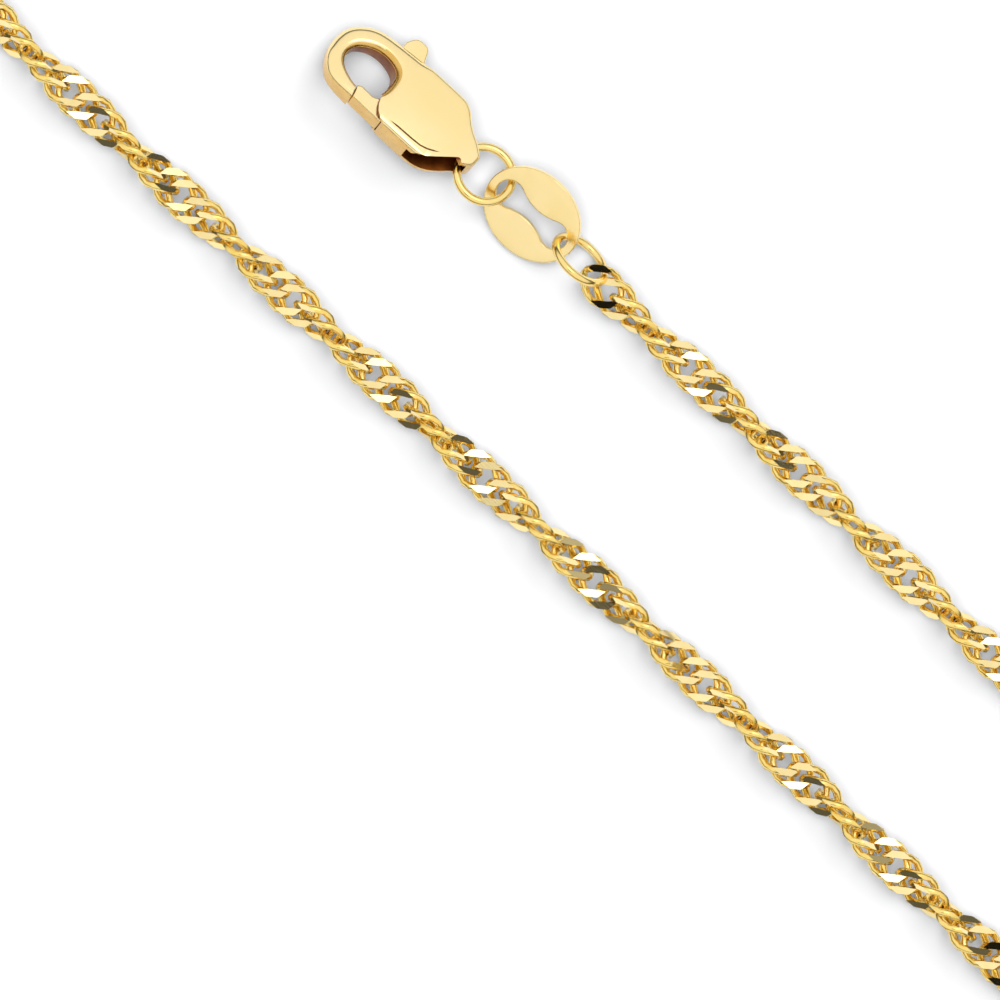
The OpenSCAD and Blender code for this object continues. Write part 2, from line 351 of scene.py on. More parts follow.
@dataclass
class TwistedChain:
    """Double curb links, each through the next two, twisted into a rope and diamond cut.

    A link's half length and half width are those of its wire's middle line. Its wire is
    pinched at its ends and the middles of its sides, and swells between them, where it
    dips and rises by the saddle. The waists are the places along X where a near strand
    looks narrowest, and a half turn apart. Slack is in degrees.
    """

    route: Route = field(default_factory=Route)
    half_length: float = 1.23
    half_width: float = 0.96
    squareness: float = 0.05
    wire: float = 0.42
    pinch: float = 0.1
    swell: float = 0.08
    saddle: float = 0.22
    flatness: float = 1.6
    slope_reach: float = 4.0
    cut_depth: float = 0.125
    wire_sides: int = 6
    bends: int = 16
    pitch: float = 1.0
    pairing: float = 0.15
    half_turn: float = 7.4
    spare_turns: int = 4
    first_link: float = -67.97
    last_link: float = -106.93
    upper_waists: tuple[float, ...] = (-64.65, -56.9, -49.5, -42.4)
    lower_waists: tuple[float, ...] = (
        -31.8, -39.1, -46.2, -53.6, -61.3, -69.0, -76.4, -83.3, -91.0, -98.3,
    )
    slack: float = 1.5
    seed: int = 11

    def path(self, degrees: float) -> Vector:
        """Gives a point on a link's wire, in the link's own frame.

        Args:
            degrees: the angle round the link from its leading end.

        Returns:
            The point in mm.
        """
        angle, square = math.radians(degrees), self.squareness
        x = self.half_length * (math.cos(angle) + square * math.cos(3 * angle)) / (1 + square)
        y = self.half_width * (math.sin(angle) - square * math.sin(3 * angle)) / (1 + square)
        return Vector((x, y, -self.saddle * self.wave(degrees)))

    def wave(self, degrees: float) -> float:
        """Gives how far the wire dips at a point of the link, from -1 to 1.

        Args:
            degrees: the angle round the link from its leading end.

        Returns:
            The share of the saddle's depth.
        """
        swing = math.sin(math.radians(2 * degrees))
        return math.tanh(self.flatness * swing) / math.tanh(self.flatness)

    def section(self, degrees: float) -> Matrix:
        """Gives the place and turn of the wire's cross-section at a point of the link.

        Args:
            degrees: the angle round the link from its leading end.

        Returns:
            The section's matrix, with Z along the wire.
        """
        here = self.path(degrees)
        ahead, behind = self.path(degrees + self.slope_reach), self.path(degrees - self.slope_reach)
        along = (ahead - behind).normalized()
        outward = Vector((math.cos(math.radians(degrees)), math.sin(math.radians(degrees)), 0))
        outward = (outward - along * outward.dot(along)).normalized()
        turn = Matrix((outward, along.cross(outward), along)).transposed()
        width = 1 - self.pinch + (self.pinch + self.swell) * abs(self.wave(degrees)) ** 3
        return Matrix.Translation(here) @ turn.to_4x4() @ Matrix.Diagonal((width, 1, 1, 1))

    def link(self, bm: bmesh.types.BMesh) -> None:
        """Sweeps one link's wire round its path and cuts its bright facets.

        Args:
            bm: the empty shape that takes the link.
        """
        sections = [self.section(360 * (k + 0.5) / self.bends) for k in range(self.bends)]
        start = bmesh.ops.create_circle(
            bm, segments=self.wire_sides, radius=self.wire / 2, matrix=sections[0]
        )["verts"]
        edges = list(dict.fromkeys(e for v in start for e in v.link_edges))
        for before, after in zip(sections, sections[1:] + sections[:1]):
            made = bmesh.ops.extrude_edge_only(bm, edges=edges)["geom"]
            edges = edges_of(made)
            bmesh.ops.transform(bm, matrix=after @ before.inverted(), verts=verts_of(made))
        bmesh.ops.remove_doubles(bm, verts=bm.verts, dist=self.wire / 100)
        for face in bm.faces:
            face.smooth = True
        level = self.saddle + self.wire / 2 - self.cut_depth
        for side in (1, -1):
            cut = bmesh.ops.bisect_plane(
                bm,
                geom=whole(bm),
                dist=self.wire / 1000,
                plane_co=(0, 0, side * level),
                plane_no=(0, 0, side),
                clear_outer=True,
            )["geom_cut"]
            facets = bmesh.ops.holes_fill(bm, edges=edges_of(cut))["faces"]
            # The cut facets take the paler facet gold, a painted highlight.
            for facet in facets:
                facet.smooth = False
                facet.material_index = ChainFace.FACET
                for edge in facet.edges:
                    edge.smooth = False
        bmesh.ops.recalc_face_normals(bm, faces=bm.faces)

    def turns(self) -> list[tuple[float, float]]:
        """Lists where the rope's waists are, from those that the near strands show.

        Returns:
            Pairs of distance along the route and half turns there.
        """
        upper = [self.route.arc_at(x, False) for x in self.upper_waists]
        lower = [self.route.arc_at(x, True) for x in self.lower_waists]
        hidden = round((lower[0] - upper[-1]) / self.half_turn)
        table = [(arc, k + 0.5) for k, arc in enumerate(upper)]
        base = table[-1][1] + hidden
        table += [(arc, base + k) for k, arc in enumerate(lower)]
        (first, m), (last, n) = table[0], table[-1]
        spare = self.half_turn * self.spare_turns
        return [(first - spare, m - self.spare_turns), *table, (last + spare, n + self.spare_turns)]

    def half_turns(self, arc: float, table: list[tuple[float, float]]) -> float:
        """Reads the twist at a distance along the route.

        Args:
            arc: the distance from the plate's end.
            table: the waists, from turns().

        Returns:
            The twist there, in half turns.
        """
        k = min(max(bisect_right([a for a, _ in table], arc) - 1, 0), len(table) - 2)
        (a, m), (b, n) = table[k], table[k + 1]
        return m + (n - m) * (arc - a) / (b - a)

    def build(self) -> bpy.types.Object:
        """Lays every link along the route.

        Returns:
            The chain as one piece.
        """
        bm = bmesh.new()
        self.link(bm)
        pattern = whole(bm)
        start = self.route.arc_at(self.first_link, False)
        end = self.route.arc_at(self.last_link, True)
        count = round((end - start) / self.pitch) + 1
        table = self.turns()
        rng = random.Random(self.seed)
        for k in range(count):
            arc = start + (end - start) * k / (count - 1) + self.pairing / 2 * (-1) ** k
            place, ahead = self.route.at(arc)
            twist = math.pi * self.half_turns(arc, table)
            tilt = [math.radians(rng.uniform(-self.slack, self.slack)) for _ in range(3)]
            heading = Matrix.Rotation(math.atan2(ahead.y, ahead.x) + tilt[2], 4, "Z")
            turn = Matrix.Rotation(twist + tilt[0], 4, "X") @ Matrix.Rotation(tilt[1], 4, "Y")
            verts = verts_of(bmesh.ops.duplicate(bm, geom=pattern)["geom"])
            bmesh.ops.transform(bm, matrix=Matrix.Translation(place) @ heading @ turn, verts=verts)
        bmesh.ops.delete(bm, geom=verts_of(pattern), context="VERTS")
        log.info("the chain has %d links", count)
        finishes = [WIRE_PAINTED_SHADE_GOLD.material(), FACET_PAINTED_HIGHLIGHT_GOLD.material()]
        return finish_piece(bm, "twisted_chain", finishes, NECKLACE, ("chain",))


def even_loop(line: list[Vector], spacing: float) -> list[Vector]:
    """Spaces points evenly round a closed line.

    Args:
        line: the line's points, without the first again at the end.
        spacing: the distance that is aimed at between two points.

    Returns:
        The points.
    """
    ring = [*line, line[0]]
    arcs = [0.0]
    for a, b in zip(ring, ring[1:]):
        arcs.append(arcs[-1] + (b - a).length)
    count = round(arcs[-1] / spacing)
    points = []
    for i in range(count):
        arc = arcs[-1] * i / count
        k = bisect_right(arcs, arc) - 1
        points.append(ring[k].lerp(ring[k + 1], (arc - arcs[k]) / (arcs[k + 1] - arcs[k])))
    return points


def smooth_loop(points: Outline, spacing: float, steps: int = 8) -> list[Vector]:
    """Draws a smooth closed curve through points.

    Args:
        points: the places it passes through, in order.
        spacing: the distance between the curve's points.
        steps: how finely the curve is drawn between two places before it is measured.

    Returns:
        Evenly spaced points of the curve.
    """
    line: list[Vector] = []
    for k in range(len(points)):
        a, b, c, d = (Vector((*points[(k + j - 1) % len(points)], 0.0)) for j in range(4))
        for i in range(steps):
            line.append(curve_between(a, b, c, d, i / steps))
    return even_loop(line, spacing)


def rounded_loop(corners: RoundedOutline, arc_step: float = 12.0) -> Outline:
    """Rounds the corners of an outline.

    Args:
        corners: each corner's place and radius.
        arc_step: the most degrees between two points of an arc.

    Returns:
        The outline with an arc at each corner that has a radius.
    """
    points: list[tuple[float, float]] = []
    for k, (x, y, radius) in enumerate(corners):
        at = Vector((x, y))
        before = (Vector(corners[k - 1][:2]) - at).normalized()
        after = (Vector(corners[(k + 1) % len(corners)][:2]) - at).normalized()
        if radius <= 0:
            points.append((x, y))
            continue
        half = before.angle(after) / 2
        centre = at + (before + after).normalized() * radius / math.sin(half)
        start = at + before * radius / math.tan(half) - centre
        sweep = math.copysign(math.pi - 2 * half, before.y * after.x - before.x * after.y)
        steps = max(1, math.ceil(abs(math.degrees(sweep)) / arc_step))
        for i in range(steps + 1):
            turned = Matrix.Rotation(sweep * i / steps, 2) @ start
            points.append(tuple(centre + turned))
    return tuple(points)


def prism(outline: Outline, low: float, high: float) -> bmesh.types.BMesh:
    """Raises an outline into a solid.

    Args:
        outline: the flat shape.
        low: the height of its foot.
        high: the height of its top.

    Returns:
        The solid.
    """
    bm = bmesh.new()
    foot = bm.faces.new([bm.verts.new((x, y, low)) for x, y in outline])
    raised = bmesh.ops.extrude_face_region(bm, geom=[foot])["geom"]
    bmesh.ops.translate(bm, vec=(0, 0, high - low), verts=verts_of(raised))
    bmesh.ops.recalc_face_normals(bm, faces=bm.faces)
    return bm


def rod(at: tuple[float, float], radius: float, depth: float, sides: int = 32) -> bmesh.types.BMesh:
    """Makes an upright round rod.

    Args:
        at: the place of its axis.
        radius: its radius.
        depth: its length, half of it on each side of the middle plane.
        sides: how many sides it has.

    Returns:
        The solid.
    """
    bm = bmesh.new()
    bmesh.ops.create_cone(
        bm, cap_ends=True, segments=sides, radius1=radius, radius2=radius, depth=depth,
        matrix=Matrix.Translation((*at, 0)),
    )
    return bm


def carve(bm: bmesh.types.BMesh, tool: bmesh.types.BMesh) -> None:
    """Cuts one closed shape out of another.

    Args:
        bm: the shape that is cut.
        tool: the shape that is taken away, which is freed.
    """
    blank, cutter = add_object(bm, "blank"), add_object(tool, "cutter")
    cut = blank.modifiers.new("cut", "BOOLEAN")
    cut.operation, cut.solver, cut.object = "DIFFERENCE", "EXACT", cutter
    shown = blank.evaluated_get(bpy.context.evaluated_depsgraph_get())
    bm.clear()
    bm.from_mesh(shown.to_mesh())
    shown.to_mesh_clear()
    tool.free()
    for used in (blank, cutter):
        mesh = used.data
        bpy.data.objects.remove(used)
        bpy.data.meshes.remove(mesh)


def soften(bm: bmesh.types.BMesh, degrees: float = 35.0, flat: float = 0.3) -> None:
    """Shades a shape smooth, apart from its sharp edges and its large flat faces.

    Args:
        bm: the shape.
        degrees: the angle from which an edge is sharp.
        flat: the area from which a face is flat, in square mm.
    """
    for face in bm.faces:
        face.smooth = face.calc_area() < flat
    for edge in bm.edges:
        edge.smooth = edge.calc_face_angle(0.0) < math.radians(degrees)


@dataclass
class Pillow:
    """A flat solid with rounded rims, the same above and below its middle plane.

    Spacing is the distance between its outline's points, steps are those of a rim's
    curve, and cell is the size of the squares that its domed top is divided in. A foot
    drops further than any piece is thick, and so ends on the middle plane.
    """

    spacing: float = 0.15
    steps: int = 6
    cell: float = 0.35
    foot_drop: float = 1000.0
    cut_merge: float = 0.01
    mirror_merge: float = 0.001

    def half(self, x: float, y: float) -> float:
        """Gives half its thickness at a place."""
        raise NotImplementedError

    def rim(self, x: float, y: float) -> float:
        """Gives the radius of its rims at a place."""
        raise NotImplementedError

    def wall(
        self, bm: bmesh.types.BMesh, loop: list[Vector], inward: bool
    ) -> list[bmesh.types.BMEdge]:
        """Raises the wall and rounded rim over one closed line.

        Args:
            bm: the shape that takes it.
            loop: the line's points.
            inward: whether the metal is inside the line.

        Returns:
            The rim's last edges, level with the top.
        """
        drop = bm.verts.layers.float["drop"]
        count = len(loop)
        area = sum(loop[k - 1].x * loop[k].y - loop[k].x * loop[k - 1].y for k in range(count))
        turn = math.pi / 2 if (area > 0) == inward else -math.pi / 2
        normals = []
        for k in range(count):
            along = (loop[(k + 1) % count] - loop[k - 1]).normalized()
            normals.append(Matrix.Rotation(turn, 3, "Z") @ along)
        verts = [bm.verts.new(point) for point in loop]
        edges = [bm.edges.new((verts[k - 1], verts[k])) for k in range(count)]
        places = {vert: k for k, vert in enumerate(verts)}
        for vert in verts:
            vert[drop] = self.foot_drop
        for step in range(self.steps + 1):
            angle = math.pi / 2 * step / self.steps
            made = bmesh.ops.extrude_edge_only(bm, edges=edges)["geom"]
            edges = edges_of(made)
            fresh = {}
            for vert in verts_of(made):
                ends = (edge.other_vert(vert) for edge in vert.link_edges)
                fresh[vert] = next(places[end] for end in ends if end in places)
            for vert, k in fresh.items():
                radius = self.rim(loop[k].x, loop[k].y)
                vert.co = loop[k] + normals[k] * radius * (1 - math.cos(angle))
                vert[drop] = radius * (1 - math.sin(angle))
            places = fresh
        return edges

    def solid(self, outer: list[Vector], hole: list[Vector]) -> bmesh.types.BMesh:
        """Builds the solid between an outline and a hole.

        Args:
            outer: the outline.
            hole: the hole's line.

        Returns:
            The closed shape.
        """
        bm = bmesh.new()
        bm.verts.layers.float.new("drop")
        edges = self.wall(bm, outer, True) + self.wall(bm, hole, False)
        geom = bmesh.ops.triangle_fill(bm, use_beauty=True, edges=edges)["geom"]
        faces = [g for g in geom if isinstance(g, bmesh.types.BMFace)]
        around = dict.fromkeys(part for face in faces for part in (*face.edges, *face.verts))
        geom = [*faces, *around]
        for axis in (0, 1):
            low = min(point[axis] for point in outer)
            high = max(point[axis] for point in outer)
            for k in range(1, int((high - low) / self.cell)):
                at, along = Vector(), Vector()
                at[axis], along[axis] = low + k * self.cell, 1.0
                geom = bmesh.ops.bisect_plane(
                    bm, geom=geom, dist=self.cut_merge, plane_co=at, plane_no=along
                )["geom"]
        drop = bm.verts.layers.float["drop"]
        for vert in bm.verts:
            vert.co.z = max(0.0, self.half(vert.co.x, vert.co.y) - vert[drop])
        bmesh.ops.mirror(bm, geom=whole(bm), axis="Z", merge_dist=self.mirror_merge)
        bmesh.ops.recalc_face_normals(bm, faces=bm.faces)
        return bm


class ClaspFace(IntEnum):
    """Which of the clasp's colours a face has: its gold, painted shade on the sides, or darker painted
    shade in the recesses.
    """

    TOP = 0
    SIDE = 1
    RECESS = 2


def clasp_materials() -> list[bpy.types.Material]:
    """Makes the clasp's gold and its two painted shades, in the order of ClaspFace."""
    return [CLASP_GOLD.material(), SIDE_PAINTED_SHADE_GOLD.material(), RECESS_PAINTED_SHADE_GOLD.material()]


@dataclass
class ClaspBody(Pillow):
    """The clasp's hook and hollow body, cut open for the lever and for the ring at its tail.

    Its plan runs from the hook at -X to the tail at +X, and the plans of its cutters are
    set on it. Upright, sloping and level are the parts of a face's normal along Z that
    decide where painted shade goes on the face.
    """

    at: Triple = (-83.29, 5.72, 1.6685)
    lean: float = -20.0
    outline: Outline = (
        (6.0, -0.3), (5.75, -0.55), (5.3, -0.87), (4.89, -1.3), (4.4, -1.72), (3.9, -1.98), (3.4, -2.1),
        (2.5, -2.14), (1.5, -2.15), (0.7, -2.155), (0, -2.16), (-0.7, -2.165), (-1.4, -2.17),
        (-2.2, -2.15), (-2.8, -2.03), (-3.2, -1.78), (-3.55, -1.4), (-3.8, -0.95), (-3.93, -0.45),
        (-3.95, 0.05), (-3.87, 0.55), (-3.62, 1.02), (-3.2, 1.42), (-2.75, 1.69), (-2.2, 1.86),
        (-1.4, 1.95), (-0.4, 2.02), (0.7, 2.08), (1.5, 2.095), (2.2, 2.1), (3.3, 2.1), (3.75, 1.97),
        (4.1, 1.73), (4.5, 1.36), (4.9, 1.08), (5.3, 0.87), (5.7, 0.6), (6.0, 0.35), (6.05, 0.02),
    )
    opening: Outline = (
        (-2.67, -0.97), (-2.9, -0.55), (-2.92, -0.16), (-2.68, 0.31), (-2.04, 0.72), (-1.26, 0.84),
        (-0.53, 0.68), (-0.21, 0.38), (-0.08, -0.06), (-0.06, -0.5), (-0.1, -0.95), (-0.3, -1.3),
        (-0.8, -1.5), (-1.5, -1.52), (-2.2, -1.3),
    )
    half_height: float = 1.115
    half_width: float = 2.075
    half_length: float = 6.35
    crown_across: float = 0.05
    crown_along: float = 0.55
    crown_at: float = 2.4
    hook_rim: float = 0.42
    body_rim: float = 0.2
    hook_end: float = 1.2
    low_band: float = -1.4
    cutter_reach: float = 2.0
    lever_room: float = 0.77
    ring_room: float = 0.6
    mouth: Outline = (
        (-1.42, -1.2), (-1.38, -1.5), (-1.27, -1.85), (-1.13, -2.2), (-1.05, -2.6), (1.5, -2.6),
        (1.1, -2.12), (0.75, -2.0), (0.42, -1.78), (0.2, -1.5), (0.05, -1.2), (0, -0.9), (-0.5, -0.9),
    )
    lever_hollow: Outline = (
        (-0.3, -4), (0.95, -4), (0.95, -1.725), (2.88, -1.725), (2.88, 1.725), (2.6, 1.725), (2.6, 4),
        (-1.2, 4), (-1.2, 1.22), (0.35, 1.22), (0.35, -0.1), (-0.3, -0.1),
    )
    channel_near: Outline = ((2.88, -4), (6.5, -4))
    channel_far: Outline = (
        (6.4, 4), (4.38, 4), (4.38, 1.725), (2.58, 1.725), (2.58, -1.725), (2.88, -1.725),
    )
    eye: Triple = (6.785, 0.241, 1.235)
    post_arc: tuple[int, int, int] = (256, 103, -8)
    channel_lip: RoundedOutline = (
        (2.88, -4.15, 0), (2.88, -2.05, 0), (3.34, -1.8, 0.6), (3.74, -1.43, 0.8), (4.7, -0.5, 0.2),
        (5.15, -0.77, 0), (5.15, -4.15, 0),
    )
    lip_slope: float = 0.55
    lip_foot: float = 0.03
    groove: Outline = (
        (1.19, -1.745), (1.69, -1.71), (2.69, -1.67), (3.29, -1.61), (3.69, -1.48), (3.99, -1.31),
        (4.29, -1.12),
    )
    groove_width: float = 0.09
    groove_floor: float = 0.9
    pivot: tuple[float, float] = (1.7, -0.8)
    pin_room: tuple[float, float] = (0.31, 1.96)
    upright: float = 0.35
    sloping: float = 0.93
    level: float = 0.999
    plane_gap: float = 0.003
    side_reach: float = 0.2
    hollow_reach: float = 0.45
    hollow_start: float = -1.3

    @property
    def place(self) -> Matrix:
        """The clasp's place and lean on the table."""
        return leaning(self.at, self.lean)

    def half(self, x: float, y: float) -> float:
        """Gives half the body's thickness, which is most at its crown.

        Args:
            x: the place along the clasp.
            y: the place across it.

        Returns:
            Half the thickness.
        """
        across = self.crown_across * (y / self.half_width) ** 2
        along = self.crown_along * ((x - self.crown_at) / self.half_length) ** 2
        return self.half_height - across - along

    def rim(self, x: float, y: float) -> float:
        """Gives the rim's radius, full on the hook and small on the body and the low band.

        Args:
            x: the place along the clasp.
            y: the place across it.

        Returns:
            The radius.
        """
        along = min(max(self.hook_end - x, 0.0), 1.0)
        across = min(max(y - self.low_band, 0.0), 1.0)
        share = along * along * (3 - 2 * along) * across * across * (3 - 2 * across)
        return self.body_rim + (self.hook_rim - self.body_rim) * share

    def ring_channel(self) -> Outline:
        """Gives the plan of the channel that the ring turns in.

        Returns:
            The outline, whose end is an arc round the post at the tail.
        """
        x, y, radius = self.eye
        arc = [math.radians(a) for a in range(*self.post_arc)]
        post = [(x + radius * math.cos(a), y + radius * math.sin(a)) for a in arc]
        return (*self.channel_near, *post, *self.channel_far)

    def groove_cutter(self) -> Outline:
        """Gives the plan of the fine groove over the channel, pointed at both ends.

        Returns:
            The outline.
        """
        line = [Vector(point) for point in self.groove]
        upper, lower = [], []
        for k in range(1, len(line) - 1):
            across = (line[k + 1] - line[k - 1]).normalized().orthogonal() * self.groove_width / 2
            upper.append(tuple(line[k] + across))
            lower.append(tuple(line[k] - across))
        return (self.groove[0], *upper, self.groove[-1], *reversed(lower))

    def build(self) -> bpy.types.Object:
        """Shapes and cuts the body.

        Returns:
            The finished piece.
        """
        outer = smooth_loop(self.outline, self.spacing)
        bm = self.solid(outer, smooth_loop(self.opening, self.spacing))
        carve(bm, prism(self.mouth, -self.cutter_reach, self.cutter_reach))
        carve(bm, prism(self.lever_hollow, -self.lever_room, self.lever_room))
        carve(bm, prism(self.ring_channel(), -self.ring_room, self.ring_room))
        lip = prism(rounded_loop(self.channel_lip), self.lip_foot, self.cutter_reach)
        slope = Matrix.Identity(4)
        slope[0][2] = self.lip_slope
        bmesh.ops.transform(lip, matrix=slope, verts=lip.verts)
        carve(bm, lip)
        carve(bm, prism(self.groove_cutter(), self.groove_floor, self.cutter_reach))
        carve(bm, rod(self.pivot, *self.pin_room))
        soften(bm)
        self.sort_faces(bm, outer)
        bmesh.ops.transform(bm, matrix=self.place, verts=bm.verts)
        return finish_piece(
            bm, "hook_and_body", clasp_materials(), NECKLACE, ("clasp_body",)
        )

    def sort_faces(self, bm: bmesh.types.BMesh, outer: list[Vector]) -> None:
        """Marks painted shade on the outer sides and the hook opening's rim, and darker painted shade
        in the recesses.

        Args:
            bm: the cut body, in the clasp's own frame.
            outer: its outline's points.
        """
        for face in bm.faces:
            middle, slope = face.calc_center_median(), abs(face.normal.z)
            near = min((point.xy - middle.xy).length for point in outer)
            gap = min(abs(abs(middle.z) - room) for room in (self.lever_room, self.ring_room))
            # Painted shade on the upright outer sides and the hook opening's sloping rim; darker
            # painted shade on the inner walls and the hollows' flat faces.
            if slope < self.upright:
                face.material_index = ClaspFace.SIDE if near < self.side_reach else ClaspFace.RECESS
            elif slope > self.level and gap < self.plane_gap and middle.x > self.hollow_start:
                face.material_index = ClaspFace.RECESS
            elif slope < self.sloping and near > self.hollow_reach and middle.x < self.hook_end:
                face.material_index = ClaspFace.SIDE


@dataclass
class ClaspLever:
    """The sprung gate and its thumb tab, one flat piece that turns on the pin."""

    clasp: ClaspBody
    thickness: float = 1.4
    softening: float = 0.07
    rim_angle: float = 60.0
    pin_hole: float = 0.35
    outline: RoundedOutline = (
        (-1.128, -2.075, 0.1), (0.92, -2.075, 0.1), (0.92, -1.6, 0.1), (1.5, -1.5, 0.3),
        (2.45, -1.5, 0.6), (2.3, -0.1, 0.5), (1.95, 0.8, 0.6), (1.35, 1.75, 0.4), (0.42, 2.1, 0.12),
        (0.05, 2.91, 0.4), (-0.75, 2.91, 0.5), (-1.06, 2.3, 0.3), (-0.98, 1.37, 0.1), (0.5, 1.37, 0.3),
        (0.85, 0.5, 0.6), (0.85, -0.3, 0.3), (0.35, -0.95, 0.3), (-0.3, -1.3, 0.4), (-1.1, -1.28, 0.1),
        (-1.34, -1.42, 0.1),
    )

    def build(self) -> bpy.types.Object:
        """Shapes the lever.

        Returns:
            The finished piece.
        """
        bm = prism(rounded_loop(self.outline), -self.thickness / 2, self.thickness / 2)
        sharp = math.radians(self.rim_angle)
        rims = [edge for edge in bm.edges if edge.calc_face_angle(0.0) > sharp]
        bmesh.ops.bevel(
            bm, geom=rims, offset=self.softening, segments=3, profile=0.5, affect="EDGES",
            clamp_overlap=True, material=-1,
        )
        carve(bm, rod(self.clasp.pivot, self.pin_hole, 2 * self.thickness))
        soften(bm)
        # The lever's upright sides take painted shade; its flat faces take the clasp's gold.
        for face in bm.faces:
            upright = abs(face.normal.z) < self.clasp.upright
            face.material_index = ClaspFace.SIDE if upright else ClaspFace.TOP
        bmesh.ops.transform(bm, matrix=self.clasp.place, verts=bm.verts)
        return finish_piece(
            bm, "gate_and_tab", clasp_materials(), LEVER, ("clasp_lever",)
        )


@dataclass
class RoundRing:
    """A ring of round wire that leans on the table."""

    name: str
    node: str
    at: Triple
    radius: float
    wire: float
    lean: float
    around: int = 72
    section: int = 16

    def build(self) -> bpy.types.Object:
        """Turns the wire into a ring.

        Returns:
            The finished piece.
        """
        bm = bmesh.new()
        start = Matrix.Translation((self.radius, 0, 0)) @ Matrix.Rotation(math.pi / 2, 4, "X")
        bmesh.ops.create_circle(bm, segments=self.section, radius=self.wire / 2, matrix=start)
        bmesh.ops.spin(
            bm, geom=[*bm.verts, *bm.edges], cent=(0, 0, 0), axis=(0, 0, 1), angle=2 * math.pi,
            steps=self.around, use_merge=True,
        )
        bmesh.ops.remove_doubles(bm, verts=bm.verts, dist=self.wire / 100)
        bmesh.ops.recalc_face_normals(bm, faces=bm.faces)
        for face in bm.faces:
            face.smooth = True
        bmesh.ops.transform(bm, matrix=leaning(self.at, self.lean), verts=bm.verts)
        return finish_piece(
            bm, self.name, [RING_GOLD.material()], NECKLACE, (self.node,)
        )


RINGS = (
    RoundRing("jump_ring", "clasp_ring", (-76.505, 5.85, 1.321), radius=1.535, wire=0.48, lean=-21.0),
    RoundRing("chain_end_ring", "end_ring", (-69.695, 6.05, 1.597), radius=1.6, wire=0.45, lean=-59.0),
    RoundRing("far_ring", "catch_ring", (-108.82, -6.1, 0.97), radius=1.46, wire=0.48, lean=-30.0),
)


@dataclass
class OvalPlate(Pillow):
    """The flat oval plate with its peanut-shaped slot."""

    spacing: float = 0.12
    steps: int = 4
    cell: float = 0.6
    at: Triple = (-73.215, 6.05, 1.188)
    lean: float = 25.0
    length: float = 5.75
    width: float = 4.85
    thickness: float = 0.36
    softening: float = 0.09
    slot_length: float = 4.75
    slot_width: float = 1.58
    slot_waist: float = 0.8
    arc_steps: int = 24
    rim_steps: int = 180

    def half(self, x: float, y: float) -> float:
        """Gives half the plate's thickness."""
        return self.thickness / 2

    def rim(self, x: float, y: float) -> float:
        """Gives the radius of its worn edges."""
        return self.softening

    def slot(self) -> list[Vector]:
        """Draws the slot: two round ends and a waist between two arcs that touch them.

        Returns:
            The slot's points.
        """
        end = self.slot_width / 2
        x = self.slot_length / 2 - end
        waist = self.slot_waist / 2
        bend = (x * x + waist**2 - end * end) / (self.slot_width - self.slot_waist)
        y = waist + bend
        touch = math.degrees(math.atan2(y, -x))
        arcs = (
            (x, 0, end, -touch, touch), (0, y, bend, touch - 180, -touch),
            (-x, 0, end, 180 - touch, 180 + touch), (0, -y, bend, touch, 180 - touch),
        )
        line = []
        for cx, cy, radius, first, last in arcs:
            for i in range(self.arc_steps):
                a = math.radians(first + (last - first) * i / self.arc_steps)
                line.append(Vector((cx + radius * math.cos(a), cy + radius * math.sin(a), 0)))
        return even_loop(line, self.spacing)

    def build(self) -> bpy.types.Object:
        """Shapes the plate.

        Returns:
            The finished piece.
        """
        oval = []
        for k in range(self.rim_steps):
            a = math.radians(360 * k / self.rim_steps)
            oval.append(Vector((math.cos(a) * self.length / 2, math.sin(a) * self.width / 2, 0)))
        bm = self.solid(even_loop(oval, self.spacing), self.slot())
        soften(bm)
        bmesh.ops.transform(bm, matrix=leaning(self.at, self.lean), verts=bm.verts)
        return finish_piece(
            bm, "slotted_plate", [PLATE_GOLD.material()], NECKLACE, ("tag_plate",)
        )


@dataclass(frozen=True)
class TentPatch:
    """A round patch of the tent that is brighter or darker than the rest.

    It leans from straight above towards +Y, and fades between its inner and outer
    angles, all in degrees.
    """

    lean: float
    inner: float
    outer: float
    level: float

    def add_to(
        self,
        nodes: bpy.types.Nodes,
        links: bpy.types.NodeLinks,
        place: bpy.types.Node,
        light: bpy.types.NodeSocket,
    ) -> bpy.types.NodeSocket:
        """Blends the patch over the tent's light.

        Args:
            nodes: the world's nodes.
            links: the world's links.
            place: the texture coordinate node.
            light: the light so far.

        Returns:
            The light with the patch.
        """
        lean = math.radians(self.lean)
        near = nodes.new("ShaderNodeVectorMath")
        near.operation = "DOT_PRODUCT"
        near.inputs[1].default_value = (0.0, math.sin(lean), math.cos(lean))
        links.new(place.outputs["Generated"], near.inputs[0])
        edge = nodes.new("ShaderNodeMapRange")
        edge.interpolation_type = "SMOOTHSTEP"
        edge.inputs["From Min"].default_value = math.cos(math.radians(self.outer))
        edge.inputs["From Max"].default_value = math.cos(math.radians(self.inner))
        links.new(near.outputs["Value"], edge.inputs["Value"])
        mix = nodes.new("ShaderNodeMix")
        mix.data_type = "RGBA"
        mix.inputs["B"].default_value = (self.level, self.level, self.level, 1.0)
        links.new(edge.outputs["Result"], mix.inputs["Factor"])
        links.new(light, mix.inputs["A"])
        return mix.outputs["Result"]


@dataclass(frozen=True)
class Panel:
    """A square soft light that faces the necklace and shows in no reflection.

    Its place is measured in mm from the middle of the view, its size is in mm, and its
    power is in watts.
    """

    name: str
    at: Triple
    size: float
    power: float

    def hang(self, middle: Vector) -> None:
        """Hangs the light.

        Args:
            middle: the middle of the view, in mm.
        """
        data = bpy.data.lights.new(self.name, "AREA")
        data.shape, data.size, data.energy = "SQUARE", self.size * MM, self.power
        lamp = bpy.data.objects.new(self.name, data)
        lamp.location = (middle + Vector(self.at)) * MM
        lamp.rotation_euler = (-Vector(self.at)).to_track_quat("-Z", "Y").to_euler()
        lamp.visible_glossy = False
        bpy.context.scene.collection.objects.link(lamp)


